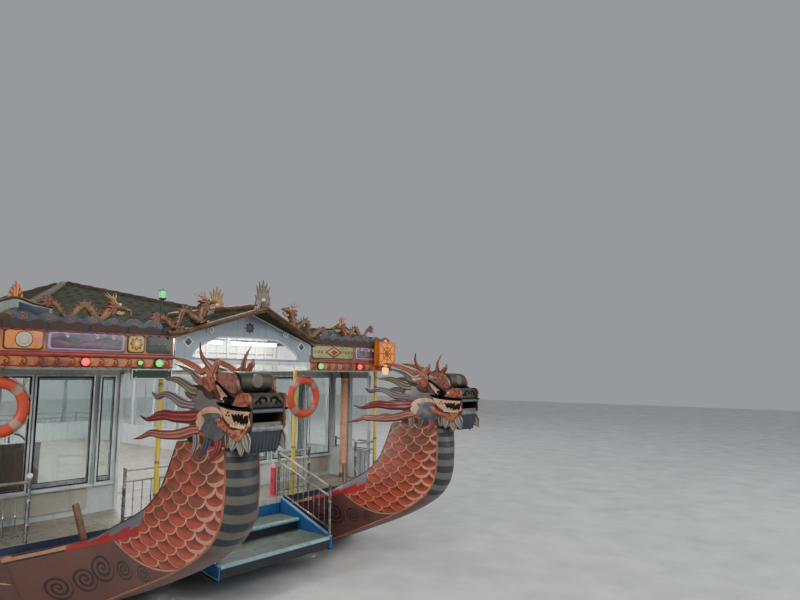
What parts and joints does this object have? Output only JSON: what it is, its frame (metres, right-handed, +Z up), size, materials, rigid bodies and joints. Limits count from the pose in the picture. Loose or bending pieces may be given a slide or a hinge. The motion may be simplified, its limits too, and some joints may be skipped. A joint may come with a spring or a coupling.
{
  "type": "dragon boat",
  "caption": "Twin-hulled river boat with a dragon's head on each bow, a glazed cabin, a painted frieze, a tiled hip roof and a gabled porch.",
  "frame": {"origin": "middle of the bounding box, at the level of the hulls' flat bottoms", "axes": "+X forward to the dragon heads, +Y to port, +Z up"},
  "size_m": [18.358, 7.3097, 5.41],
  "materials": {
    "hull_paint": "satin",
    "dragon_paint": "satin",
    "head_paint": "gloss",
    "deck_plate": "matt",
    "stair_paint": "satin",
    "stainless": "satin",
    "wall_frame": "satin",
    "window_glass": "polished",
    "frieze_paint": "satin",
    "ceiling_panel": "matt",
    "roof_tile": "satin",
    "porch_panel": "satin",
    "yellow_post": "satin",
    "ornament": "satin",
    "blank_plate": "satin",
    "lamp_panel": "gloss",
    "buoy": "matt",
    "red_paint": "satin",
    "mast_paint": "satin",
    "helm_wood": "satin",
    "bronze": "satin",
    "rudder_steel": "matt"
  },
  "bodies": {
    "boat": {"port_hull": "hull_paint", "starboard_hull": "hull_paint", "port_bow": "dragon_paint", "starboard_bow": "dragon_paint", "port_tail": "dragon_paint", "starboard_tail": "dragon_paint", "port_head": "head_paint", "starboard_head": "head_paint", "deck": "deck_plate", "bow_stairs": "stair_paint", "port_stair_rail": "stainless", "starboard_stair_rail": "stainless", "port_front_rail": "stainless", "starboard_front_rail": "stainless", "port_corner_rail": "stainless", "starboard_corner_rail": "stainless", "port_aft_rail": "stainless", "starboard_aft_rail": "stainless", "front_wall": "wall_frame", "port_wall": "wall_frame", "starboard_wall": "wall_frame", "aft_wall": "wall_frame", "port_front_glass": "window_glass", "starboard_front_glass": "window_glass", "port_side_glass": "window_glass", "starboard_side_glass": "window_glass", "port_aft_glass": "window_glass", "starboard_aft_glass": "window_glass", "port_front_frieze": "frieze_paint", "starboard_front_frieze": "frieze_paint", "port_side_frieze": "frieze_paint", "starboard_side_frieze": "frieze_paint", "aft_frieze": "frieze_paint", "ceiling": "ceiling_panel", "roof": "roof_tile", "porch_roof": "roof_tile", "porch_frame": "porch_panel", "port_corner_post": "yellow_post", "starboard_corner_post": "yellow_post", "porch_flame": "ornament", "port_porch_dragon": "ornament", "starboard_porch_dragon": "ornament", "port_eave_dragon": "ornament", "starboard_eave_dragon": "ornament", "number_board": "blank_plate", "lamp_box": "lamp_panel", "port_lifebuoy": "buoy", "starboard_lifebuoy": "buoy", "stair_bollard": "red_paint", "mast": "mast_paint", "helm_console": "helm_wood"},
    "port_entrance_leaf": {"port_door": "wall_frame"},
    "starboard_entrance_leaf": {"starboard_door": "wall_frame"},
    "aft_door_leaf": {"aft_door": "wall_frame"},
    "port_screw": {"port_propeller": "bronze"},
    "starboard_screw": {"starboard_propeller": "bronze"},
    "port_steering": {"port_rudder": "rudder_steel"},
    "starboard_steering": {"starboard_rudder": "rudder_steel"},
    "steering_wheel": {"helm_wheel": "helm_wood"}
  },
  "joints": [
    {"name": "port_entrance_slide", "type": "slide", "parent": "boat", "child": "port_entrance_leaf", "axis": [0, -1, 0], "range_m": [0, 1.272]},
    {"name": "starboard_entrance_slide", "type": "slide", "parent": "boat", "child": "starboard_entrance_leaf", "axis": [0, 1, 0], "range_m": [0, 1.272]},
    {"name": "aft_door_hinge", "type": "hinge", "parent": "boat", "child": "aft_door_leaf", "pos_m": [-6.131, 0.495, 2.35], "axis": [0, 0, -1], "range_deg": [0, 100]},
    {"name": "port_propeller_spin", "type": "hinge", "parent": "boat", "child": "port_screw", "pos_m": [-7.401, 2.295, 0.22], "axis": [1, 0, 0], "continuous": true},
    {"name": "starboard_propeller_spin", "type": "hinge", "parent": "boat", "child": "starboard_screw", "pos_m": [-7.401, -2.105, 0.22], "axis": [1, 0, 0], "continuous": true},
    {"name": "starboard_rudder_turn", "type": "hinge", "parent": "boat", "child": "starboard_steering", "pos_m": [-7.761, -2.105, 0.25], "axis": [0, 0, 1], "range_deg": [-35, 35]},
    {"name": "port_rudder_turn", "type": "hinge", "parent": "boat", "child": "port_steering", "pos_m": [-7.761, 2.295, 0.25], "axis": [0, 0, 1], "range_deg": [-35, 35]},
    {"name": "helm_turn", "type": "hinge", "parent": "boat", "child": "steering_wheel", "pos_m": [3.879, -2.405, 2.23], "axis": [1, 0, 0], "range_deg": [-450, 450]}
  ],
  "couplings": [
    {"joint": "port_rudder_turn", "follows": "starboard_rudder_turn", "ratio": 1},
    {"joint": "helm_turn", "follows": "starboard_rudder_turn", "ratio": 12.857}
  ]
}
